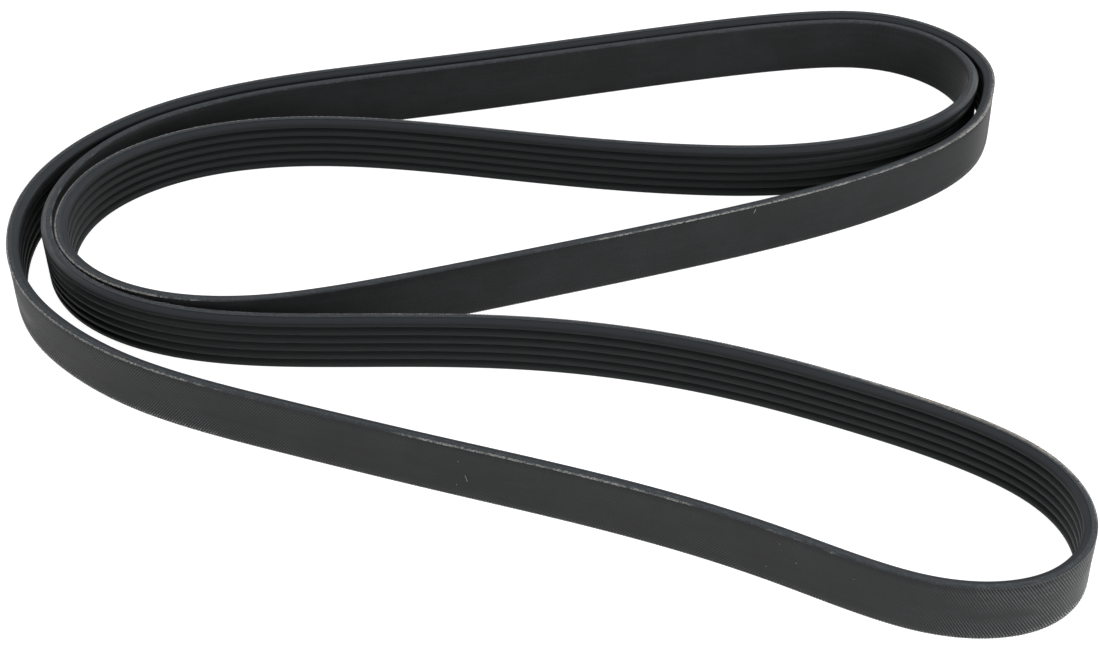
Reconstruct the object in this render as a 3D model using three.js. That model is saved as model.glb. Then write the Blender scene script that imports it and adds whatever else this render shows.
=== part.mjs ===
// Serpentine belt: one endless moulded band with lengthwise V ribs along one face, standing on its
// cut edge in the loose lay of a belt fresh out of its sleeve.
// Millimetres, +Z up, origin on the ground under the middle of the lay.
import * as THREE from 'three';
import { LoftGeometry } from 'three/addons/geometries/LoftGeometry.js';

// Section of the band
const RIB_COUNT = 6;
const RIB_PITCH = 3.56;
const RIB_ANGLE = 40; // degrees between the two flanks of a rib
const RIB_HEIGHT = 2.2;
const RIB_TIP_RADIUS = 0.5;
const BACK_THICKNESS = 2; // from the back down to the groove lines
const EDGE_LAND = 0.2; // strip that the cut leaves outside each outer groove line

// Length round the back, and the least clearance between two strands that lie rib to rib
const BELT_LENGTH = 2530;
const STRAND_CLEARANCE = 0.5;

// Facets round the lay: the largest turn and the longest step from one section to the next
const FACET_TURN = 9; // degrees
const FACET_STEP = 60;

const THICKNESS = BACK_THICKNESS + RIB_HEIGHT;
const WIDTH = RIB_COUNT * RIB_PITCH + 2 * EDGE_LAND;

// Line midway between the two back strands, which lie rib to rib from the left turn round to the
// right turn: x, y, and how much wider than the least clearance the space between the ribs is.
const RIB_TO_RIB_LINE = [
  [-175.5, 42.5, 5.3], [-168.5, 63, 3.5], [-149.5, 86.5, 1.6], [-121, 103.5, 1.5],
  [-41, 124, 1.1], [49.5, 143.5, 0.9], [86.5, 151, 0.9], [115.5, 155, 0.7], [143.5, 153.5, 0.2],
  [164, 143, 0.2], [175, 129.5, 0.7], [179, 113.5, 1.4], [176.5, 100.5, 2.2], [169, 86, 5.6],
];

// Points on the back of the other strands, in the order in which the belt runs
const DIAGONAL_STRAND = [
  [165, 69.5], [141.5, 52.5], [87, 28.5], [5.5, 2.5], [-57, -15.5], [-84, -21],
];
const INNER_LEFT_TURN = [
  [-113.5, -21], [-137, -14], [-154.5, -1.5], [-165, 15], [-167.5, 34.5], [-161, 55.5],
  [-144.5, 73],
];
const UPPER_RIBBED_STRAND = [
  [-107, 87.5], [-40, 85], [16, 74], [59.5, 67.5], [107.5, 67], [136.5, 74],
];
const MIDDLE_LEFT_TURN = [
  [-166, 16.5], [-154.5, -2.5], [-132.5, -18], [-100.5, -27],
];
const FRONT_RIBBED_STRAND = [
  [-60, -29.5], [3, -32.5], [64.5, -46.5], [120.5, -71], [151.5, -89.5],
];
const LOWER_RIGHT_TURN = [
  [166, -103], [175, -122.5], [172.5, -142], [160, -155], [140.5, -160], [117.5, -156],
];
const FRONT_STRAND = [
  [92, -143.5], [57, -125.5], [-20.5, -96], [-91.5, -70],
];
const OUTER_LEFT_TURN = [
  [-130, -52.5], [-154.5, -34.5], [-173.5, -11.5], [-183, 16.5],
];

// Smooth closed curve through its points, with no jump in curvature.
class ClosedSpline extends THREE.Curve {
  constructor(points) {
    super();
    this.points = points;
    this.count = points.length;
    this.spans = points.map((point, i) => point.distanceTo(this.pointAt(i + 1)));
    this.slopes = points.map(() => new THREE.Vector2());
    this.arcLengthDivisions = 2400;
    const sweeps = 60;
    for (let sweep = 0; sweep < sweeps; sweep++) {
      this.slopes.forEach((slope, i) => this.settleSlope(slope, i));
    }
  }

  pointAt(i) {
    return this.points[(i + this.count) % this.count];
  }

  // Sets one slope so that the curvature is the same on both sides of its point.
  settleSlope(slope, i) {
    const before = (i + this.count - 1) % this.count;
    const after = (i + 1) % this.count;
    const spanBefore = this.spans[before];
    const spanAfter = this.spans[i];
    const chordBefore = this.points[i].clone().sub(this.points[before]);
    const chordAfter = this.points[after].clone().sub(this.points[i]);
    slope.set(0, 0)
      .addScaledVector(chordBefore, 3 / spanBefore ** 2)
      .addScaledVector(chordAfter, 3 / spanAfter ** 2)
      .addScaledVector(this.slopes[before], -1 / spanBefore)
      .addScaledVector(this.slopes[after], -1 / spanAfter)
      .divideScalar(2 / spanBefore + 2 / spanAfter);
  }

  getPoint(t, target = new THREE.Vector2()) {
    const total = this.spans.reduce((sum, span) => sum + span, 0);
    let along = (t - Math.floor(t)) * total;
    let i = 0;
    while (i < this.count - 1 && along > this.spans[i]) {
      along -= this.spans[i];
      i++;
    }
    const span = this.spans[i];
    const u = along / span;
    const v = 1 - u;
    return target.set(0, 0)
      .addScaledVector(this.points[i], v * v * (1 + 2 * u))
      .addScaledVector(this.pointAt(i + 1), u * u * (1 + 2 * v))
      .addScaledVector(this.slopes[i], span * u * v * v)
      .addScaledVector(this.slopes[(i + 1) % this.count], -span * u * u * v);
  }
}

function toVectors(points, scale) {
  return points.map(([x, y]) => new THREE.Vector2(x * scale, y * scale));
}

// Backs of the two strands that lie rib to rib, each its own thickness and half the space away
// from the line between them.
function ribToRibStrands(scale) {
  const line = toVectors(RIB_TO_RIB_LINE, scale);
  const curve = new THREE.SplineCurve(line);
  const offsets = line.map((point, i) => {
    const heading = curve.getTangent(i / (line.length - 1));
    const extra = RIB_TO_RIB_LINE[i][2];
    const distance = THICKNESS + (STRAND_CLEARANCE + extra) / 2;
    return new THREE.Vector2(-heading.y, heading.x).multiplyScalar(distance);
  });
  const outer = line.map((point, i) => point.clone().add(offsets[i]));
  const inner = line.map((point, i) => point.clone().sub(offsets[i]));
  return { outer, inner: inner.reverse() };
}

function routeAtScale(scale) {
  const backStrands = ribToRibStrands(scale);
  return new ClosedSpline([
    ...backStrands.outer,
    ...toVectors(DIAGONAL_STRAND, scale),
    ...toVectors(INNER_LEFT_TURN, scale),
    ...toVectors(UPPER_RIBBED_STRAND, scale),
    ...backStrands.inner,
    ...toVectors(MIDDLE_LEFT_TURN, scale),
    ...toVectors(FRONT_RIBBED_STRAND, scale),
    ...toVectors(LOWER_RIGHT_TURN, scale),
    ...toVectors(FRONT_STRAND, scale),
    ...toVectors(OUTER_LEFT_TURN, scale),
  ]);
}

// The lay, drawn larger or smaller until it takes up the whole belt.
function layRoute() {
  const passes = 4;
  let scale = 1;
  let route = routeAtScale(scale);
  for (let pass = 0; pass < passes; pass++) {
    scale *= BELT_LENGTH / route.getLength();
    route = routeAtScale(scale);
  }
  return route;
}

// Where the sections stand along the route: close together in the turns, far apart on the straights.
function sectionPlaces(route) {
  const samples = 2500;
  const facetTurn = THREE.MathUtils.degToRad(FACET_TURN);
  const step = route.getLength() / samples;
  const facets = [0];
  for (let i = 1; i <= samples; i++) {
    const before = route.getTangentAt((i - 1) / samples);
    const after = route.getTangentAt(i / samples);
    const turn = Math.abs(before.cross(after));
    facets.push(facets[i - 1] + turn / facetTurn + step / FACET_STEP);
  }
  const count = Math.ceil(facets[samples]);
  const places = [];
  for (let i = 0, k = 0; k < count; k++) {
    const goal = k * facets[samples] / count;
    while (facets[i + 1] < goal) i++;
    places.push((i + (goal - facets[i]) / (facets[i + 1] - facets[i])) / samples);
  }
  return places;
}

// Outline of the cut-through band as [depth below the back, height above the resting edge].
function bandSection() {
  const flank = THREE.MathUtils.degToRad(RIB_ANGLE / 2);
  const halfTip = RIB_PITCH / 2 - RIB_HEIGHT * Math.tan(flank);
  const setback = RIB_TIP_RADIUS * Math.tan((Math.PI / 2 - flank) / 2);
  const flankEnd = THICKNESS - setback * Math.cos(flank);
  const section = [[0, 0], [BACK_THICKNESS, 0]];
  for (let rib = 0; rib < RIB_COUNT; rib++) {
    const groove = EDGE_LAND + rib * RIB_PITCH;
    const middle = groove + RIB_PITCH / 2;
    section.push(
      [BACK_THICKNESS, groove],
      [flankEnd, middle - halfTip - setback * Math.sin(flank)],
      [THICKNESS, middle - halfTip + setback],
      [THICKNESS, middle + halfTip - setback],
      [flankEnd, middle + halfTip + setback * Math.sin(flank)],
    );
  }
  section.push([BACK_THICKNESS, WIDTH - EDGE_LAND], [BACK_THICKNESS, WIDTH], [0, WIDTH]);
  return section;
}

// The section carried round the route with its back outwards, closed end to end.
function beltGeometry() {
  const route = layRoute();
  const section = bandSection().reverse();
  const rings = sectionPlaces(route).map((place) => {
    const back = route.getPointAt(place);
    const heading = route.getTangentAt(place);
    return section.map(([depth, height]) => new THREE.Vector3(
      back.x + heading.y * depth,
      back.y - heading.x * depth,
      height,
    ));
  });
  const geometry = new LoftGeometry([...rings, rings[0]]);
  geometry.computeBoundingBox();
  const middle = geometry.boundingBox.getCenter(new THREE.Vector3());
  geometry.translate(-middle.x, -middle.y, 0);
  return geometry;
}

const rubber = new THREE.MeshStandardMaterial({ color: 0x3a3c3c, roughness: 0.85, metalness: 0 });
rubber.name = 'rubber';

const belt = new THREE.Mesh(beltGeometry(), rubber);
belt.name = 'belt';

const part = new THREE.Group();
part.add(belt);

export default part;
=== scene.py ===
"""Serpentine belt: the ribbed band with its woven back and cut edges, on a white table."""
import math

import bmesh
import bpy
from bpy.props import FloatProperty, FloatVectorProperty, IntProperty, PointerProperty
from bpy.types import Operator, Panel, PropertyGroup
from mathutils import Matrix, Vector, noise


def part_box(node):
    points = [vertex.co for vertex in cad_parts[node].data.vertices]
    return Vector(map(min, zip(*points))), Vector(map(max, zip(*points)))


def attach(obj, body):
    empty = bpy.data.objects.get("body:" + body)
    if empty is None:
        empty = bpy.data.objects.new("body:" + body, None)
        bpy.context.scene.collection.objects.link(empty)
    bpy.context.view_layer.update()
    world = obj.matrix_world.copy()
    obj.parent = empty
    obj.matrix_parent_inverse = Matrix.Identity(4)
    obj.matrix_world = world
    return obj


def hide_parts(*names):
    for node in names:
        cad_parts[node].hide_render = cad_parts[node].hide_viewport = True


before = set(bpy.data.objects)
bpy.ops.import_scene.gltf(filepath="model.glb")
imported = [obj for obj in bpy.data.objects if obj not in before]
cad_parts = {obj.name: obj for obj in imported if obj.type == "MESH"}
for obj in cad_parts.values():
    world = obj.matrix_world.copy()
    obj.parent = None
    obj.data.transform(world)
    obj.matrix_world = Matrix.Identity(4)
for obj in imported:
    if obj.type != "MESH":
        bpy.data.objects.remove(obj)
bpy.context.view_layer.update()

bl_info = {
    "name": "Serpentine Belt",
    "version": (1, 0, 0),
    "blender": (4, 5, 0),
    "location": "3D View > Sidebar > Belt",
    "description": "Models a ribbed endless belt in its loose lay, with its rubber and its studio",
    "category": "Add Mesh",
}

MM = 0.001
NODE = "belt"
PLACE = "moulded"  # vertex attribute: where the point was in the round mould, in millimetres
OPENED = "opened"  # vertex attribute: how far the weave stands open there, 0 to 1
LOOSE = "loose"  # vertex attribute: how much loose fibre there is, 0 to 1

# Reading the solid
JOINED = 0.001 * MM  # corners closer than this are one corner
ALIKE = 0.01 * MM  # measures closer than this are the same
FLUSH = 0.02 * MM  # a point this close to a plane lies on it
SECTION_REACH = 8 * MM  # every point of a section is closer than this to its back corner
LEAST_SECTIONS = 50  # a belt's solid has at least so many
FULL_HEIGHT = 0.99  # share of the width that an edge across the back has

# Working the section
EDGE_MARGIN = 0.1 * MM  # closer than this to a cut edge there is no groove
ROUNDING_CUTS = 2
BACK_CUTS = 7  # cuts across the back, so that its wear can vary with the height
LEAST_FLAT = 1.2 * MM  # level sides of the section longer than this get a cut in the middle

# Which faces are back and which are cut edge, as depths below the back
BACK_DOWN_TO = 0.05 * MM
CORNER_DOWN_TO = 0.4 * MM

# Threads: depths of the foot and of a shut thread's crown, in thread heights
THREAD_FOOT = 1.5
SHUT_CROWN = 1.1
CROWN_ABOVE = 0.5  # what is less deep than this is a crown

# The raw edge of the fabric, a cord in the upper back corner
FRAY_DEPTH = 0.45 * MM  # middle of the cord under the back
FRAY_DROP = 0.34 * MM  # middle of the cord under the upper cut edge
FRAY_NOISE = ((0.23, 3.7, 1.0), (0.9, 9.1, 0.4))  # pace per millimetre, row of the noise, weight
FRAY_UNEVEN = 0.45  # how far the noise changes the strength
FRAY_SWELL = (1.06, 0.94)  # size at a thread and between two threads
FRAY_WHOLE = 0.3  # size that is left where the edge is whole
FRAY_SWAY = 0.1 * MM
FRAY_SWAY_LENGTH = 2.3  # millimetres from one sway to the next

# Wear of the weave: patches, and a stripe that is rubbed smooth near half the height
PATCH_PACE = 0.045  # per millimetre along the belt
PATCH_SQUASH = 2.2  # how many times longer than high a patch is
PATCH_FORCE = 0.7
STRIPE_HEIGHT, STRIPE_SWAY, STRIPE_SPREAD = 0.45, 0.3, 0.11  # shares of the width
STRIPE_FORCE = 0.75

FLUFF_FROM = 0.9  # loose fibre lies above this share of the width
LINT_RADII = (0.13 * MM, 0.1 * MM)  # thick and thin end of a hair
BAND_CREASE = math.radians(50)  # sharper edges than this stay sharp
THREAD_CREASE = math.radians(80)

# How far the fabric is frayed along the upper back corner: share of the belt's length, strength
FRAYED = (
    (0.0, 0.4), (0.035, 0.8), (0.105, 1.0), (0.12, 0.0), (0.16, 0.1), (0.175, 1.0), (0.27, 0.9),
    (0.30, 0.4), (0.33, 0.1), (0.40, 0.1), (0.50, 0.3), (0.52, 0.5), (0.56, 0.3), (0.58, 0.6),
    (0.62, 0.4), (0.65, 0.9), (0.68, 0.8), (0.69, 0.0), (0.71, 0.0), (0.717, 0.4), (0.735, 0.45),
    (0.75, 0.9), (0.773, 1.0), (0.78, 0.1), (0.795, 0.1), (0.81, 0.9), (0.85, 1.0), (0.88, 0.5),
    (1.0, 0.4),
)

# How far the weave stands open: share of the belt's length, rising threads, falling threads
WOVEN = (
    (0.0, 0.15, 0.1), (0.04, 0.2, 0.1), (0.10, 0.2, 0.1), (0.20, 0.22, 0.1), (0.35, 0.1, 0.1),
    (0.50, 0.1, 0.1), (0.66, 1.0, 0.3), (0.692, 1.0, 0.3), (0.700, 0.6, 0.1), (0.708, 0.3, 0.1),
    (0.718, 0.15, 0.2), (0.73, 0.05, 0.26), (0.77, 0.0, 0.24), (0.80, 0.0, 0.42),
    (0.83, 0.0, 0.65), (0.87, 0.0, 0.6), (0.93, 0.1, 0.2), (1.0, 0.15, 0.1),
)

# How far loose fibre lies over the upper cut edge: share of the belt's length, strength
FLUFFED = (
    (0.0, 0.3), (0.02, 0.6), (0.05, 0.75), (0.06, 0.4), (0.07, 0.0), (0.55, 0.0), (0.58, 0.35),
    (0.63, 0.5), (0.65, 0.85), (0.668, 0.9), (0.68, 0.4), (0.69, 0.0), (0.97, 0.0), (1.0, 0.3),
)

# Hairs and specks on the back: share of the belt's length, height, length and lean, millimetres
LINT = (
    (0.0877, 19.5, 1.9, -0.45), (0.768, 8.9, 2.4, 0.25), (0.7271, 17.6, 0.35, 0.0),
    (0.7286, 6.2, 0.3, 0.4), (0.7248, 12.0, 0.3, 0.0), (0.7175, 14.3, 0.35, -0.6),
    (0.769, 15.6, 0.3, 0.0), (0.7694, 5.2, 0.3, 0.5),
)

# Lamps: name, place, what they point at, size and power
LAMPS = (
    ("lamp_back", (0, 1.0, 0.7), (0, 0, 0), (0.9, 0.5), 2.8),
    ("lamp_back_left", (-0.9, 0.7, 0.4), (0, 0, 0), (0.4, 0.4), 4.6),
    ("lamp_back_right", (0.9, 0.7, 0.4), (0, 0, 0), (0.4, 0.4), 5.5),
    ("lamp_overhead", (0, 0.1, 1.2), (0, 0, 0), (1.2, 0.9), 3.1),
    ("lamp_left", (-0.55, -0.55, 0.4), (-0.1, -0.05, 0), (0.4, 0.4), 2),
    ("lamp_right", (0.6, -0.5, 0.35), (0.15, -0.1, 0), (0.4, 0.4), 3.7),
    ("lamp_low_right", (0.7, -0.35, 0.12), (0.15, -0.1, 0), (0.3, 0.2), 0.5),
)

# The table and the sky
TABLE_SIZE = 6
TABLE_GREY = 0.45
TABLE_WHITE = 0.96  # what the camera sees
TABLE_GLEAM = 0.95  # what the belt mirrors of it near the camera
GLEAM_FROM, GLEAM_FULL = 0.25, -0.2  # places from back to front between which the gleam grows
SKY_GLEAM = 0.05

# The picture
SENSOR_WIDTH = 36
PICTURE_WIDTH = 1100
PICTURE_SHIFT = (-22.4, -6.5)  # pixels to the side and up
NEAREST, FARTHEST = 0.01, 50


class BeltShape(PropertyGroup):
    sectors: IntProperty(
        name="Sectors",
        description="Large facets of the round mould",
        default=115,
        min=40,
    )
    sections_per_sector: IntProperty(
        name="Sections in a sector",
        description="Cross-sections that each large facet is cut into",
        default=11,
        min=1,
    )
    root_radius: FloatProperty(
        name="Groove radius",
        description="Rounding at the bottom of each groove",
        default=0.25 * MM,
        unit="LENGTH",
    )
    corner_radius: FloatProperty(
        name="Back corner radius",
        description="Rounding where the back meets a cut edge",
        default=0.45 * MM,
        unit="LENGTH",
    )
    thread_height: FloatProperty(
        name="Thread height",
        description="How far the threads of the fabric stand above the rubber of the back",
        default=0.2 * MM,
        unit="LENGTH",
    )
    thread_width: FloatProperty(
        name="Thread width",
        description="Width of a thread at its foot",
        default=0.56 * MM,
        unit="LENGTH",
    )
    threads_per_sector: IntProperty(
        name="Threads in a sector",
        description="Threads of one direction that end on each large facet of the mould",
        default=22,
        min=1,
    )
    thread_lean: FloatVectorProperty(
        name="Thread lean",
        description="How far the rising and the falling threads run along the belt for their height",
        default=(0.633, -0.785),
        size=2,
    )
    fray_radius: FloatProperty(
        name="Fray radius",
        description="Radius of the fabric's raw edge at the upper back corner",
        default=0.5 * MM,
        unit="LENGTH",
    )
    thread_steps: IntProperty(
        name="Thread steps",
        description="Steps in which a thread follows the back from edge to edge",
        default=7,
        min=2,
    )


class BeltFinish(PropertyGroup):
    back: FloatVectorProperty(
        name="Back",
        description="Rubber with the weave pressed in",
        default=(0.0190, 0.0202, 0.0214),
        subtype="COLOR",
    )
    ribs: FloatVectorProperty(
        name="Ribs",
        description="Ground rubber of the ribs",
        default=(0.012, 0.0135, 0.014),
        subtype="COLOR",
    )
    edge: FloatVectorProperty(
        name="Cut edge",
        description="Rubber of the cut edges",
        default=(0.049, 0.0555, 0.063),
        subtype="COLOR",
    )
    fibre: FloatVectorProperty(
        name="Fibres",
        description="Frayed ends of the back's fabric",
        default=(0.50, 0.50, 0.48),
        subtype="COLOR",
    )


class StudioSettings(PropertyGroup):
    lens: FloatProperty(
        name="Focal length",
        description="Lens of the camera, in millimetres on a 36 mm sensor",
        default=68.63,
    )
    position: FloatVectorProperty(
        name="Camera place",
        description="Where the camera stands",
        default=(0.01778, -0.57723, 0.47303),
        subtype="XYZ",
        unit="LENGTH",
    )
    pitch: FloatProperty(
        name="Pitch",
        description="How far the camera looks down",
        default=math.radians(39.73),
        subtype="ANGLE",
    )
    roll: FloatProperty(
        name="Roll",
        description="How far the camera leans",
        default=math.radians(-0.846),
        subtype="ANGLE",
    )


def merged_copy(node):
    """The node's mesh with its loose triangles joined."""
    bm = bmesh.new()
    bm.from_mesh(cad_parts[node].data)
    bmesh.ops.remove_doubles(bm, verts=bm.verts, dist=JOINED)
    bm.verts.index_update()
    return bm


def back_corners(bm, width):
    """Upper corners of the back in order round the belt, one for each section of the solid."""
    tops = set()
    for edge in bm.edges:
        a, b = edge.verts
        if abs(a.co.z - b.co.z) > FULL_HEIGHT * width:
            tops.add(a if a.co.z > b.co.z else b)
    neighbours = {
        v: [e.other_vert(v) for e in v.link_edges if e.other_vert(v) in tops] for v in tops
    }
    start = max(tops, key=lambda v: v.co.y)
    ring = [start]
    previous, current = None, start
    while True:
        ahead = [v for v in neighbours[current] if v is not previous]
        following = ahead[0] if previous else max(ahead, key=lambda v: v.co.x)
        if following is start:
            break
        ring.append(following)
        previous, current = current, following
    return ring


def section_of(bm, corner):
    """Outline of the solid at one section, as (depth below the back, height) points."""
    inward = min(
        (e.other_vert(corner).co - corner.co for e in corner.link_edges
         if abs(e.other_vert(corner).co.z - corner.co.z) < ALIKE),
        key=lambda step: step.length,
    ).normalized()
    along = inward.cross(Vector((0, 0, 1)))
    near = {
        v for v in bm.verts
        if abs((v.co - corner.co).dot(along)) < FLUSH
        and (v.co - corner.co).to_2d().length < SECTION_REACH
    }
    outline, previous, current = [], None, corner
    while True:
        outline.append(((current.co - corner.co).dot(inward), current.co.z))
        steps = [
            e.other_vert(current) for e in current.link_edges
            if e.other_vert(current) in near and e.other_vert(current) is not previous
        ]
        if not previous:
            steps.sort(key=lambda v: abs(v.co.z - corner.co.z))
        if steps[0] is corner:
            return outline
        previous, current = current, steps[0]


class ClosedRoute:
    """Smooth closed curve through the back's corners, read by the share of its length."""

    sweeps = 60
    steps_per_span = 24

    def __init__(self, points):
        self.points = [p.to_2d() for p in points]
        count = len(self.points)
        self.spans = [(self.points[(i + 1) % count] - p).length for i, p in enumerate(self.points)]
        self.slopes = [Vector((0, 0)) for _ in self.points]
        for _sweep in range(self.sweeps):
            for i in range(count):
                self.settle(i)
        self.measure()

    def settle(self, i):
        """Sets one slope so that the curvature has no jump at its point."""
        count = len(self.points)
        last, following = (i - 1) % count, (i + 1) % count
        before, after = self.spans[last], self.spans[i]
        pull = (self.points[i] - self.points[last]) * 3 / before**2
        pull += (self.points[following] - self.points[i]) * 3 / after**2
        pull -= self.slopes[last] / before + self.slopes[following] / after
        self.slopes[i] = pull / (2 / before + 2 / after)

    def at(self, i, u):
        """Point and heading at share u of span i."""
        count = len(self.points)
        j, span, v = (i + 1) % count, self.spans[i], 1 - u
        p, q, m, n = self.points[i], self.points[j], self.slopes[i], self.slopes[j]
        point = p * (v * v * (1 + 2 * u)) + q * (u * u * (1 + 2 * v))
        point += m * (span * u * v * v) - n * (span * u * u * v)
        heading = (q - p) * (6 * u * v / span) + m * (v * (1 - 3 * u)) + n * (u * (1 - 3 * v))
        return point, heading.normalized()

    def measure(self):
        """Running length at fine steps, so that places can be read by length."""
        self.marks = [(0.0, 0, 0.0)]
        last, total = self.points[0], 0.0
        for i in range(len(self.points)):
            for k in range(1, self.steps_per_span + 1):
                point, _ = self.at(i, k / self.steps_per_span)
                total += (point - last).length
                last = point
                self.marks.append((total, i, k / self.steps_per_span))
        self.length = total

    def evenly(self, count):
        """Points and headings at equal lengths round the curve."""
        places, k = [], 0
        for station in range(count):
            goal = self.length * station / count
            while self.marks[k + 1][0] < goal:
                k += 1
            (low, i, u), (high, j, w) = self.marks[k], self.marks[k + 1]
            u = u if i == j else 0.0
            share = (goal - low) / (high - low)
            places.append(self.at(j, u + (w - u) * share))
        return places


def find_route():
    """Route of the back, outline of the section and width, read from the frame's solid."""
    low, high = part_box(NODE)
    width = high[2] - low[2]
    solid = merged_copy(NODE)
    corners = back_corners(solid, width)
    if len(corners) < LEAST_SECTIONS:
        raise RuntimeError("the belt's back was not found in the frame")
    outline = section_of(solid, corners[0])
    route = ClosedRoute([v.co for v in corners])
    turning = sum(a.cross(b) for a, b in zip(route.points, route.points[1:]))
    if turning > 0:
        route = ClosedRoute([v.co for v in corners[::-1]])
    solid.free()
    return route, outline, width


def away_from_edges(height, width, share):
    """Whether a height is farther from both cut edges than a share of the width."""
    return share * width < height < (1 - share) * width


def groove_depth(outline, width):
    """Depth of the grooves below the back."""
    return min(depth for depth, height in outline if away_from_edges(height, width, 0.1))


def rib_lines(outline, width):
    """Height of the lowest groove line and the pitch of the ribs."""
    root = groove_depth(outline, width)
    lines = [
        height for depth, height in outline
        if abs(depth - root) < ALIKE and EDGE_MARGIN < height < width - EDGE_MARGIN
    ]
    return min(lines), (max(lines) - min(lines)) / (len(lines) - 1)


def round_off(bm, test, reach):
    """Rounds the section's corners that pass the test."""
    corners = [v for v in bm.verts if test(v.co)]
    bmesh.ops.bevel(
        bm, geom=corners, offset=reach, offset_type="OFFSET", segments=ROUNDING_CUTS,
        profile=0.5, affect="VERTICES", material=-1,
    )


def section_wire(outline, width, radius, shape):
    """The section as a closed wire, standing where it passes the +X side of the mould."""
    bm = bmesh.new()
    back_x = radius - shape.thread_height
    verts = [bm.verts.new((min(radius - d, back_x), 0, height)) for d, height in outline]
    for a, b in zip(verts, verts[1:] + verts[:1]):
        bm.edges.new((a, b))
    root_x = radius - groove_depth(outline, width)
    round_off(
        bm,
        lambda co: abs(co.x - root_x) < ALIKE and away_from_edges(co.z, width, 0.05),
        shape.root_radius,
    )
    round_off(bm, lambda co: abs(co.x - back_x) < ALIKE, shape.corner_radius)
    flats = [
        e for e in bm.edges
        if e.calc_length() > LEAST_FLAT and e.verts[0].co.z == e.verts[1].co.z
    ]
    bmesh.ops.subdivide_edges(bm, edges=flats, cuts=1)
    back = [e for e in bm.edges if e.calc_length() > width / 2]
    bmesh.ops.subdivide_edges(bm, edges=back, cuts=BACK_CUTS)
    return bm


def spin_round(bm, radius, sectors, pieces):
    """Spins a section into a ring of flat sectors and cuts each sector into pieces."""
    bmesh.ops.spin(
        bm, geom=bm.verts[:] + bm.edges[:], cent=(0, 0, 0), axis=(0, 0, 1),
        angle=math.tau, steps=sectors, use_merge=True,
    )
    half_sector = 0.5 * (math.tau / sectors) * radius
    long_way = [e for e in bm.edges if e.calc_length() > half_sector]
    bmesh.ops.subdivide_edges(bm, edges=long_way, cuts=pieces - 1)


def moulded_ring(outline, width, radius, shape):
    """The belt as it leaves the mould: a round ring of the section, back outwards."""
    bm = section_wire(outline, width, radius, shape)
    spin_round(bm, radius, shape.sectors, shape.sections_per_sector)
    return bm


def fray_core(width, radius):
    """Middle of the raw edge: distance from the mould's axis and height."""
    return Vector((radius - FRAY_DEPTH, width - FRAY_DROP))


def frayed_ring(width, radius, shape):
    """The raw edge of the fabric as a four-sided cord round the mould."""
    bm = bmesh.new()
    bmesh.ops.create_circle(bm, segments=4, radius=shape.fray_radius)
    core = fray_core(width, radius)
    for v in bm.verts:
        v.co = (core.x + v.co.x, 0, core.y + v.co.y)
    spin_round(bm, radius, shape.sectors, 2 * shape.threads_per_sector)
    return bm


def thread_ring(lean, width, radius, shape):
    """All threads of one direction on the round mould, each a thin three-sided bar."""
    bm = bmesh.new()
    corner_reach = shape.thread_width / 2 / math.sin(math.pi / 3)
    bmesh.ops.create_cone(
        bm, cap_ends=True, segments=3, radius1=corner_reach, radius2=corner_reach, depth=width,
    )
    sides = [e for e in bm.edges if e.calc_length() > width / 2]
    bmesh.ops.subdivide_edges(bm, edges=sides, cuts=shape.thread_steps - 1)
    for v in bm.verts:
        foot = v.co.y < 0
        reach = radius - (THREAD_FOOT * shape.thread_height if foot else 0)
        angle = (v.co.x + lean * v.co.z) / radius
        v.co = round_place(angle, reach, v.co.z + width / 2)
    count = shape.threads_per_sector
    step = math.tau / (shape.sectors * count)
    for copies, angle in ((count, step), (shape.sectors, step * count)):
        bmesh.ops.spin(
            bm, geom=bm.verts[:] + bm.edges[:] + bm.faces[:], cent=(0, 0, 0), axis=(0, 0, 1),
            angle=angle * (copies - 1), steps=copies - 1, use_duplicate=True,
        )
    return bm


class Lay:
    """Carries points of the round mould to their places on the route."""

    def __init__(self, route, count):
        self.radius, self.count = route.length / math.tau, count
        self.places = route.evenly(count)
        self.places.append(self.places[0])

    def put(self, share, depth, height):
        """Point at a share of the belt's length, under its back and above its resting edge."""
        i = int(share * self.count)
        u = share * self.count - i
        (p, a), (q, b) = self.places[i], self.places[i + 1]
        point, heading = p.lerp(q, u), a.lerp(b, u)
        return Vector((point.x + heading.y * depth, point.y - heading.x * depth, height))


def round_place(angle, reach, height):
    """Point in the mould at an angle and a distance from its axis."""
    return Vector((reach * math.cos(angle), reach * math.sin(angle), height))


def angle_of(co):
    """Angle of a point round the mould's axis, from 0 to a full turn."""
    return math.atan2(co.y, co.x) % math.tau


def station_of(co, sector, count):
    """Number of the nearest station and distance from the axis, as if the mould were round."""
    angle = angle_of(co)
    off_middle = angle % sector - sector / 2
    reach = co.to_2d().length * math.cos(off_middle) / math.cos(sector / 2)
    return round(angle / math.tau * count) % count, reach


def along_list(places, share):
    """Values at a share of the belt's length, in straight lines from one listed place to the next."""
    for low, high in zip(places, places[1:]):
        if share <= high[0]:
            u = (share - low[0]) / (high[0] - low[0])
            return [a + (b - a) * u for a, b in zip(low[1:], high[1:])]
    return places[-1][1:]


def opened_at(place, width, rising):
    """How far the threads of one direction stand open, less where the back is worn smooth."""
    patch = noise.noise(Vector((place.x, place.y, place.z * PATCH_SQUASH)) * PATCH_PACE)
    off_stripe = place.z * MM / width - STRIPE_HEIGHT - STRIPE_SWAY * patch
    stripe = math.exp(-(off_stripe / STRIPE_SPREAD) ** 2)
    opened = along_list(WOVEN, angle_of(place) / math.tau)[0 if rising else 1]
    opened *= 1 + PATCH_FORCE * patch - STRIPE_FORCE * stripe
    return min(max(opened, 0), 1)


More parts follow.
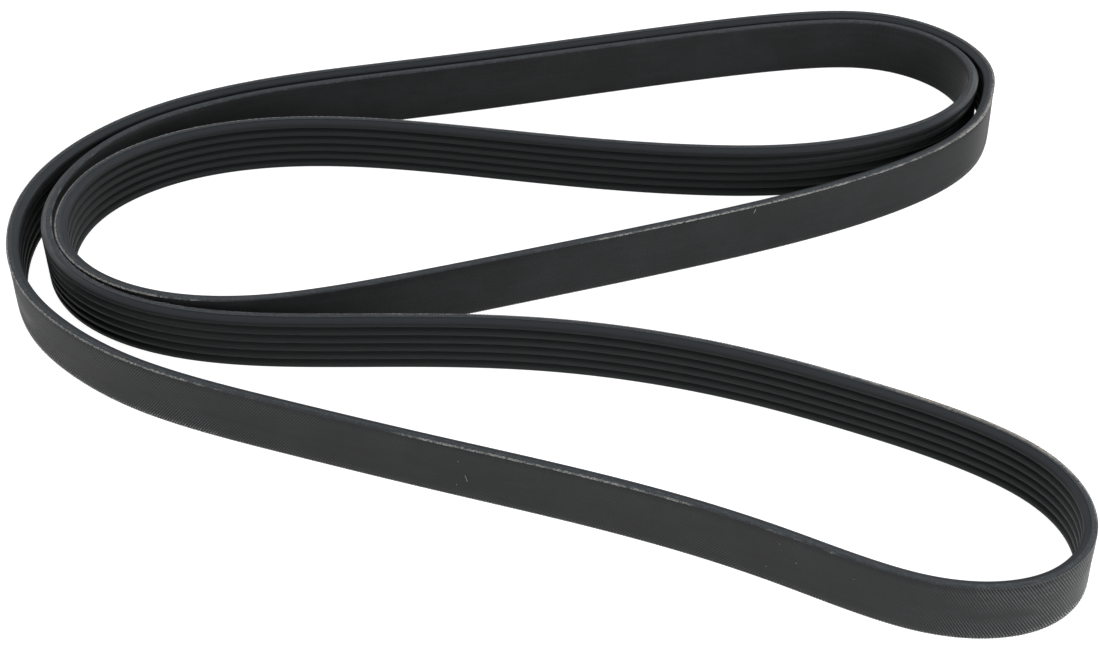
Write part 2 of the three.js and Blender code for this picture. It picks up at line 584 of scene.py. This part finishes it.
def lay_band(bm, lay, shape, width):
    """Moves each section of the moulded ring to its place on the route."""
    sector = math.tau / shape.sectors
    layer = bm.verts.layers.float_vector.new(PLACE)
    open_layer = bm.verts.layers.float.new(OPENED)
    loose_layer = bm.verts.layers.float.new(LOOSE)
    back = lay.radius - THREAD_FOOT * shape.thread_height
    for v in bm.verts:
        station, reach = station_of(v.co, sector, lay.count)
        v[layer] = round_place(station * math.tau / lay.count, reach, v.co.z) / MM
        if reach > back:
            v[open_layer] = max(opened_at(v[layer], width, way) for way in (True, False))
        if v.co.z > FLUFF_FROM * width:
            v[loose_layer] = along_list(FLUFFED, station / lay.count)[0]
        v.co = lay.put(station / lay.count, lay.radius - reach, v.co.z)


def lay_threads(bm, lay, shape, width, rising):
    """Moves the threads to the route; they stand out where the weave is open."""
    layer = bm.verts.layers.float_vector.new(PLACE)
    open_layer = bm.verts.layers.float.new(OPENED)
    for v in bm.verts:
        v[layer] = v.co / MM
        opened = opened_at(v[layer], width, rising)
        v[open_layer] = opened
        share = angle_of(v.co) / math.tau
        depth = lay.radius - v.co.to_2d().length
        if depth < CROWN_ABOVE * shape.thread_height:
            depth = shape.thread_height * (SHUT_CROWN - SHUT_CROWN * opened)
        v.co = lay.put(share, max(depth, 0), v.co.z)


def lay_fray(bm, lay, shape, width):
    """Lays the raw edge on the route, swelling at each thread and sinking away where it is whole."""
    layer = bm.verts.layers.float_vector.new(PLACE)
    loose_layer = bm.verts.layers.float.new(LOOSE)
    sector = math.tau / shape.sectors
    count = 2 * shape.threads_per_sector * shape.sectors
    core = fray_core(width, lay.radius)
    for v in bm.verts:
        station, reach = station_of(v.co, sector, count)
        angle = station * math.tau / count
        along = angle * lay.radius / MM
        rough = sum(
            weight * noise.noise(Vector((along * pace, row, 0)))
            for pace, row, weight in FRAY_NOISE
        )
        strength = along_list(FRAYED, station / count)[0] + FRAY_UNEVEN * rough
        strength = min(max(strength, 0), 1)
        v[loose_layer] = strength
        size = FRAY_SWELL[station % 2] * (FRAY_WHOLE + (1 - FRAY_WHOLE) * strength)
        sway = FRAY_SWAY * math.sin(along * math.tau / FRAY_SWAY_LENGTH) * strength
        depth = max(lay.radius - core.x - (reach - core.x) * size + sway, 0)
        height = min(core.y + (v.co.z - core.y) * size, width)
        v[layer] = round_place(angle, lay.radius - depth, height) / MM
        v.co = lay.put(station / count, depth, height)


def lay_lint(lay):
    """Short hairs and specks that cling to the back."""
    bm = bmesh.new()
    loose_layer = bm.verts.layers.float.new(LOOSE)
    for share, height, length, lean in LINT:
        low, high = (
            lay.put(share + side * lean * length * MM / (2 * math.tau * lay.radius), 0,
                    (height + side * length / 2) * MM)
            for side in (-1, 1)
        )
        turn = (high - low).to_track_quat("Z", "Y").to_matrix().to_4x4()
        bmesh.ops.create_cone(
            bm, cap_ends=True, segments=5, radius1=LINT_RADII[0], radius2=LINT_RADII[1],
            depth=(high - low).length, matrix=Matrix.Translation((low + high) / 2) @ turn,
        )
    for v in bm.verts:
        v[loose_layer] = 1
    return bm


def zone_of(face, layer, back_reach, width):
    """0 back, 1 cut edge, 2 ribs."""
    middle = Vector((0, 0, 0))
    for v in face.verts:
        middle += v[layer] * MM
    middle /= len(face.verts)
    depth = back_reach - middle.to_2d().length
    if depth < BACK_DOWN_TO:
        return 0
    if abs(middle.z) < FLUSH or abs(middle.z - width) < FLUSH or depth < CORNER_DOWN_TO:
        return 1
    return 2


class Nodes:
    """Short ways to add and join a material's nodes."""

    def __init__(self, name):
        self.material = bpy.data.materials.new(name)
        self.material.use_nodes = True
        self.tree = self.material.node_tree
        self.tree.nodes.clear()

    def add(self, kind, **values):
        node = self.tree.nodes.new(kind)
        for key, value in values.items():
            setattr(node, key, value)
        return node

    def set(self, socket, value):
        """Joins the value to the socket if it is another node's, and else writes it there."""
        if isinstance(value, bpy.types.NodeSocket):
            self.tree.links.new(value, socket)
        else:
            socket.default_value = value

    def math(self, operation, *values):
        node = self.add("ShaderNodeMath", operation=operation)
        for socket, value in zip(node.inputs, values):
            self.set(socket, value)
        return node.outputs[0]

    def plus(self, a, b):
        return self.math("ADD", a, b)

    def minus(self, a, b):
        return self.math("SUBTRACT", a, b)

    def times(self, a, b):
        return self.math("MULTIPLY", a, b)

    def mix(self, share, a, b):
        """Colour a where share is 0 and b where it is 1."""
        node = self.add("ShaderNodeMix", data_type="RGBA")
        self.set(node.inputs[0], share)
        for socket, value in ((node.inputs[6], a), (node.inputs[7], b)):
            self.set(socket, (*value, 1) if isinstance(value, tuple) else value)
        return node.outputs[2]

    def vector(self, x, y, z):
        node = self.add("ShaderNodeCombineXYZ")
        for socket, value in zip(node.inputs, (x, y, z)):
            self.set(socket, value)
        return node.outputs[0]

    def noise(self, vector, scale, detail, roughness, w=None):
        node = self.add("ShaderNodeTexNoise", noise_dimensions="3D" if w is None else "4D")
        self.set(node.inputs["Vector"], vector)
        self.set(node.inputs["Scale"], scale)
        self.set(node.inputs["Detail"], detail)
        self.set(node.inputs["Roughness"], roughness)
        if w is not None:
            self.set(node.inputs["W"], w)
        return node.outputs[0]

    def span(self, value, low, high, to_low=0.0, to_high=1.0):
        """Smooth step of value from low to high."""
        node = self.add("ShaderNodeMapRange", interpolation_type="SMOOTHSTEP")
        for socket, number in zip(node.inputs, (value, low, high, to_low, to_high)):
            self.set(socket, number)
        return node.outputs[0]


class BeltNodes(Nodes):
    """A belt material, with the place on the belt as depth and height in millimetres."""

    def __init__(self, name, radius):
        super().__init__(name)
        place = self.add("ShaderNodeAttribute", attribute_name=PLACE)
        self.place = place.outputs["Vector"]
        parts = self.add("ShaderNodeSeparateXYZ")
        self.set(parts.inputs[0], self.place)
        x, y, self.height = parts.outputs
        reach = self.math("SQRT", self.plus(self.times(x, x), self.times(y, y)))
        self.depth = self.minus(radius / MM, reach)
        self.around = [self.math("DIVIDE", x, reach), self.math("DIVIDE", y, reach)]
        self.shader = self.add("ShaderNodeBsdfPrincipled")
        out = self.add("ShaderNodeOutputMaterial")
        self.tree.links.new(self.shader.outputs[0], out.inputs[0])

    def strength(self, name):
        """The piece's own attribute of that name, 0 to 1."""
        return self.add("ShaderNodeAttribute", attribute_name=name).outputs["Fac"]

    def streaks(self, across, fine, coarse, seed):
        """Noise drawn out along the belt: fine per millimetre across it, coarse round it."""
        x, y = self.around
        place = self.vector(
            self.times(across, fine), self.times(x, coarse), self.times(y, coarse),
        )
        return self.noise(place, 1.0, 3.0, 0.6, w=seed)

    def bump(self, height, distance, strength=1.0):
        node = self.add("ShaderNodeBump")
        self.set(node.inputs["Strength"], strength)
        self.set(node.inputs["Distance"], distance)
        self.set(node.inputs["Height"], height)
        return node.outputs[0]

    def finish(self, colour, roughness, normal, specular):
        self.set(self.shader.inputs["Base Color"], colour)
        self.set(self.shader.inputs["Roughness"], roughness)
        self.set(self.shader.inputs["Normal"], normal)
        self.set(self.shader.inputs["Specular IOR Level"], specular)
        return self.material


def tones(colour, *levels):
    """The colour at several levels of light and dark."""
    return [tuple(c * level for c in colour) for level in levels]


def back_material(name, radius, finish, shut, opened, sheen, specular):
    """Rubbered fabric, at one level of its colour where the weave is shut and another where open; the
    open level paints shade, with some grime, between open threads and a highlight on the threads.
    """
    nodes = BeltNodes(name, radius)
    grain = nodes.noise(nodes.place, 3.0, 3.0, 0.6)
    blotch = nodes.noise(nodes.place, 0.05, 3.0, 0.6)
    streak = nodes.streaks(nodes.height, 0.9, 20.0, seed=7.0)
    dark, light, dusty = tones(finish.back, 0.82, 1.2, 1.6)
    colour = nodes.mix(nodes.span(blotch, 0.3, 0.7), dark, light)
    dust = nodes.times(nodes.span(streak, 0.45, 0.75), 0.35)
    colour = nodes.mix(dust, colour, dusty)
    # Painted light: where the weave is open this level darkens the rubber between the threads as
    # painted shade with some grime, and brightens the proud threads as a painted highlight.
    level = nodes.math("MULTIPLY_ADD", nodes.strength(OPENED), opened - shut, shut)
    level = nodes.times(level, nodes.span(grain, 0.35, 0.65, 0.62, 1.36))
    scaled = nodes.add("ShaderNodeVectorMath", operation="SCALE")
    nodes.set(scaled.inputs[0], colour)
    nodes.set(scaled.inputs["Scale"], level)
    normal = nodes.bump(grain, 0.03 * MM, 0.8)
    rough = nodes.span(grain, 0.3, 0.7, 0.43, 0.58)
    nodes.set(nodes.shader.inputs["Sheen Weight"], sheen)
    nodes.set(nodes.shader.inputs["Sheen Roughness"], 0.3)
    return nodes.finish(scaled.outputs[0], rough, normal, specular)


def edge_material(radius, finish):
    """Cut rubber, streaked along the belt, with loose fibre near the corner of the back."""
    nodes = BeltNodes("cut_edge", radius)
    streak = nodes.streaks(nodes.depth, 2.2, 60.0, seed=2.0)
    mottle = nodes.noise(nodes.place, 0.9, 4.0, 0.7)
    dark, light, dusty = tones(finish.edge, 0.78, 1.12, 2.1)
    colour = nodes.mix(nodes.span(streak, 0.35, 0.7), dark, light)
    dust = nodes.times(nodes.span(mottle, 0.48, 0.72), 0.6)
    colour = nodes.mix(dust, colour, dusty)
    near_corner = nodes.minus(nodes.times(nodes.strength(LOOSE), 1.15), nodes.times(nodes.depth, 0.55))
    strands = nodes.times(nodes.streaks(nodes.depth, 5.0, 60.0, seed=8.0), 1.4)
    fluff = nodes.plus(near_corner, nodes.plus(mottle, strands))
    fluff = nodes.span(fluff, 1.3, 1.85, 0.0, 0.9)
    soiled_fibre = tuple(c * level for c, level in zip(finish.fibre, (0.68, 0.62, 0.55)))
    colour = nodes.mix(fluff, colour, soiled_fibre)
    normal = nodes.bump(nodes.noise(nodes.place, 2.5, 3.0, 0.6), 0.08 * MM)
    return nodes.finish(colour, 0.72, normal, specular=0.3)


def fibre_material(radius, finish):
    """Raw fibres, pale where they are loose and clean."""
    nodes = BeltNodes("raw_fibres", radius)
    dirt = nodes.noise(nodes.place, 0.9, 3.0, 0.7)
    soiled, clean = tuple(c * 1.6 for c in finish.edge), tuple(finish.fibre)
    loose = nodes.span(nodes.strength(LOOSE), 0.4, 0.95, 0.1, 1.0)
    pale = nodes.times(nodes.span(dirt, 0.32, 0.56), loose)
    colour = nodes.mix(pale, soiled, clean)
    normal = nodes.bump(nodes.noise(nodes.place, 3.0, 2.0, 0.5), 0.05 * MM)
    return nodes.finish(colour, 0.8, normal, specular=0.2)


def rib_material(radius, finish, width, lines):
    """Ground rubber with a painted highlight on the rib tips and painted shade in the grooves, that
    turns to the edge's colour at the cut edges.
    """
    nodes = BeltNodes("rib_rubber", radius)
    lowest, pitch = (length / MM for length in lines)
    ribs_up = nodes.math("DIVIDE", nodes.minus(nodes.height, lowest), pitch)
    off_crest = nodes.math("ABSOLUTE", nodes.minus(nodes.math("FRACT", ribs_up), 0.5))
    middle = width / MM / 2
    off_middle = nodes.math("ABSOLUTE", nodes.minus(nodes.height, middle))
    outer = nodes.span(off_middle, middle - 1.9, middle - 0.6)
    streak = nodes.streaks(nodes.height, 3.0, 60.0, seed=5.0)
    grain = nodes.noise(nodes.place, 2.2, 4.0, 0.65)
    # Painted light: darker in the grooves as painted shade, lighter on the rib tips as a painted
    # highlight.
    groove, highlit_tip, dusty = tones(finish.ribs, 1.05, 1.85, 2.2)
    colour = nodes.mix(nodes.span(off_crest, 0.34, 0.1), groove, highlit_tip)
    dust = nodes.times(nodes.span(grain, 0.45, 0.8), 0.35)
    colour = nodes.mix(dust, colour, dusty)
    colour = nodes.mix(outer, colour, tuple(c * 0.75 for c in finish.edge))
    relief = nodes.plus(nodes.times(streak, 0.7), grain)
    normal = nodes.bump(relief, 0.05 * MM)
    rough = nodes.span(streak, 0.3, 0.7, 0.48, 0.62)
    return nodes.finish(colour, rough, normal, specular=0.22)


def table_material():
    """White for the camera, grey for the lamps, and a gleam that the belt mirrors."""
    nodes = Nodes("white_table")
    diffuse = nodes.add("ShaderNodeBsdfDiffuse")
    diffuse.inputs[0].default_value = (TABLE_GREY, TABLE_GREY, TABLE_GREY, 1)
    glow = nodes.add("ShaderNodeEmission")
    light = nodes.add("ShaderNodeLightPath")
    place = nodes.add("ShaderNodeTexCoord")
    parts = nodes.add("ShaderNodeSeparateXYZ")
    nodes.set(parts.inputs[0], place.outputs["Object"])
    near = nodes.add("ShaderNodeMapRange")
    gleam = (parts.outputs[1], GLEAM_FROM, GLEAM_FULL, 0.0, TABLE_GLEAM)
    for socket, value in zip(near.inputs, gleam):
        nodes.set(socket, value)
    glossy = nodes.times(light.outputs["Is Glossy Ray"], near.outputs[0])
    white = nodes.math("MULTIPLY_ADD", light.outputs["Is Camera Ray"], TABLE_WHITE, glossy)
    nodes.set(glow.inputs["Strength"], white)
    both = nodes.add("ShaderNodeAddShader")
    nodes.set(both.inputs[0], diffuse.outputs[0])
    nodes.set(both.inputs[1], glow.outputs[0])
    out = nodes.add("ShaderNodeOutputMaterial")
    nodes.set(out.inputs[0], both.outputs[0])
    return nodes.material


def read_belt(shape):
    """The lay, the outline of the section and the width."""
    route, outline, width = find_route()
    return Lay(route, shape.sectors * shape.sections_per_sector), outline, width


def add_piece(context, name, bm, materials):
    """Makes an object of the mesh, riding the part's one body."""
    mesh = bpy.data.meshes.new(name)
    for face in bm.faces:
        face.smooth = True
    bm.to_mesh(mesh)
    bm.free()
    piece = bpy.data.objects.new(name, mesh)
    context.scene.collection.objects.link(piece)
    for material in materials:
        mesh.materials.append(material)
    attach(piece, "root")
    return piece


class BELT_OT_band(Operator):
    """Model the band: its section, the moulded ring, the lay and the three finishes"""

    bl_idname = "belt.band"
    bl_label = "Band"

    def execute(self, context):
        shape, finish = context.scene.belt_shape, context.scene.belt_finish
        lay, outline, width = read_belt(shape)
        bm = moulded_ring(outline, width, lay.radius, shape)
        lay_band(bm, lay, shape, width)
        layer = bm.verts.layers.float_vector[PLACE]
        bmesh.ops.recalc_face_normals(bm, faces=bm.faces)
        back_reach = lay.radius - shape.thread_height
        for face in bm.faces:
            face.material_index = zone_of(face, layer, back_reach, width)
        # opened=0.1 darkens the back rubber between open threads: painted shade, partly grime.
        piece = add_piece(context, "belt_band", bm, (
            back_material(
                "back_rubber", lay.radius, finish, shut=1.0, opened=0.1, sheen=0.3, specular=0.3,
            ),
            edge_material(lay.radius, finish),
            rib_material(lay.radius, finish, width, rib_lines(outline, width)),
        ))
        piece.data.set_sharp_from_angle(angle=BAND_CREASE)
        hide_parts(NODE)
        return {"FINISHED"}


class BELT_OT_threads(Operator):
    """Lay the two directions of threads that are pressed into the back"""

    bl_idname = "belt.threads"
    bl_label = "Threads of the back"

    def execute(self, context):
        shape, finish = context.scene.belt_shape, context.scene.belt_finish
        lay, _outline, width = read_belt(shape)
        # opened=4.8 brightens the proud threads where the weave is open: a painted highlight.
        material = back_material(
            "back_threads", lay.radius, finish, shut=1.0, opened=4.8, sheen=0.75, specular=0.4,
        )
        for name, lean in zip(("rising_threads", "falling_threads"), shape.thread_lean):
            bm = thread_ring(lean, width, lay.radius, shape)
            bmesh.ops.recalc_face_normals(bm, faces=bm.faces)
            lay_threads(bm, lay, shape, width, lean > 0)
            piece = add_piece(context, name, bm, (material,))
            piece.data.set_sharp_from_angle(angle=THREAD_CREASE)
        return {"FINISHED"}


class BELT_OT_fray(Operator):
    """Lay the pale raw edge of the fabric along the upper back corner, and the lint"""

    bl_idname = "belt.fray"
    bl_label = "Frayed edge"

    def execute(self, context):
        shape, finish = context.scene.belt_shape, context.scene.belt_finish
        lay, _outline, width = read_belt(shape)
        bm = frayed_ring(width, lay.radius, shape)
        bmesh.ops.recalc_face_normals(bm, faces=bm.faces)
        lay_fray(bm, lay, shape, width)
        material = fibre_material(lay.radius, finish)
        add_piece(context, "frayed_edge", bm, (material,))
        add_piece(context, "lint", lay_lint(lay), (material,))
        return {"FINISHED"}


class BELT_OT_studio(Operator):
    """Set the white table, the lamps and the camera"""

    bl_idname = "belt.studio"
    bl_label = "Studio"

    def execute(self, context):
        scene = context.scene
        self.table(scene)
        self.sky(scene)
        for lamp in LAMPS:
            self.lamp(scene, *lamp)
        self.camera(scene, scene.belt_studio)
        scene.view_settings.view_transform = "Standard"
        return {"FINISHED"}

    def table(self, scene):
        bm = bmesh.new()
        bmesh.ops.create_grid(bm, x_segments=1, y_segments=1, size=TABLE_SIZE)
        mesh = bpy.data.meshes.new("table")
        bm.to_mesh(mesh)
        bm.free()
        mesh.materials.append(table_material())
        floor = bpy.data.objects.new("table", mesh)
        scene.collection.objects.link(floor)

    def sky(self, scene):
        world = bpy.data.worlds.new("studio")
        scene.world = world
        world.use_nodes = True
        tree = world.node_tree
        tree.nodes.clear()
        light = tree.nodes.new("ShaderNodeLightPath")
        sky = tree.nodes.new("ShaderNodeBackground")
        sky.inputs["Color"].default_value = (1, 1, 1, 1)
        strength = tree.nodes.new("ShaderNodeMath")
        strength.operation = "MULTIPLY_ADD"
        strength.inputs[1].default_value = SKY_GLEAM
        tree.links.new(light.outputs["Is Glossy Ray"], strength.inputs[0])
        tree.links.new(light.outputs["Is Camera Ray"], strength.inputs[2])
        tree.links.new(strength.outputs[0], sky.inputs["Strength"])
        out = tree.nodes.new("ShaderNodeOutputWorld")
        tree.links.new(sky.outputs[0], out.inputs[0])

    def lamp(self, scene, name, place, target, size, power):
        data = bpy.data.lights.new(name, "AREA")
        data.shape = "RECTANGLE"
        data.size, data.size_y = size
        data.energy = power
        lamp = bpy.data.objects.new(name, data)
        lamp.location = place
        lamp.rotation_euler = (Vector(target) - Vector(place)).to_track_quat("-Z", "Y").to_euler()
        scene.collection.objects.link(lamp)

    def camera(self, scene, studio):
        data = bpy.data.cameras.new("camera")
        data.sensor_width = SENSOR_WIDTH
        data.lens = studio.lens
        data.shift_x, data.shift_y = (pixels / PICTURE_WIDTH for pixels in PICTURE_SHIFT)
        data.clip_start, data.clip_end = NEAREST, FARTHEST
        camera = bpy.data.objects.new("camera", data)
        forward = Vector((0, math.cos(studio.pitch), -math.sin(studio.pitch)))
        up = Vector((0, math.sin(studio.pitch), math.cos(studio.pitch)))
        right = Vector((1, 0, 0))
        c, s = math.cos(studio.roll), math.sin(studio.roll)
        axes = (right * c + up * s, up * c - right * s, -forward)
        turn = Matrix(axes).transposed().to_4x4()
        camera.matrix_world = Matrix.Translation(Vector(studio.position)) @ turn
        scene.collection.objects.link(camera)
        scene.camera = camera


class BELT_PT_panel(Panel):
    """Belt steps and settings"""

    bl_idname = "BELT_PT_panel"
    bl_label = "Serpentine Belt"
    bl_space_type = "VIEW_3D"
    bl_region_type = "UI"
    bl_category = "Belt"

    def draw(self, context):
        for name in ("belt_shape", "belt_finish", "belt_studio"):
            group = getattr(context.scene, name)
            for key in group.bl_rna.properties.keys():
                if key not in ("rna_type", "name"):
                    self.layout.prop(group, key)
        self.layout.operator("belt.band")
        self.layout.operator("belt.threads")
        self.layout.operator("belt.fray")
        self.layout.operator("belt.studio")


CLASSES = (
    BeltShape, BeltFinish, StudioSettings, BELT_OT_band, BELT_OT_threads, BELT_OT_fray,
    BELT_OT_studio, BELT_PT_panel,
)


def register():
    for cls in CLASSES:
        bpy.utils.register_class(cls)
    bpy.types.Scene.belt_shape = PointerProperty(type=BeltShape)
    bpy.types.Scene.belt_finish = PointerProperty(type=BeltFinish)
    bpy.types.Scene.belt_studio = PointerProperty(type=StudioSettings)


def unregister():
    del bpy.types.Scene.belt_studio
    del bpy.types.Scene.belt_finish
    del bpy.types.Scene.belt_shape
    for cls in reversed(CLASSES):
        bpy.utils.unregister_class(cls)


def main():
    register()
    bpy.ops.belt.band()
    bpy.ops.belt.threads()
    bpy.ops.belt.fray()
    bpy.ops.belt.studio()


if __name__ == "__main__":
    main()
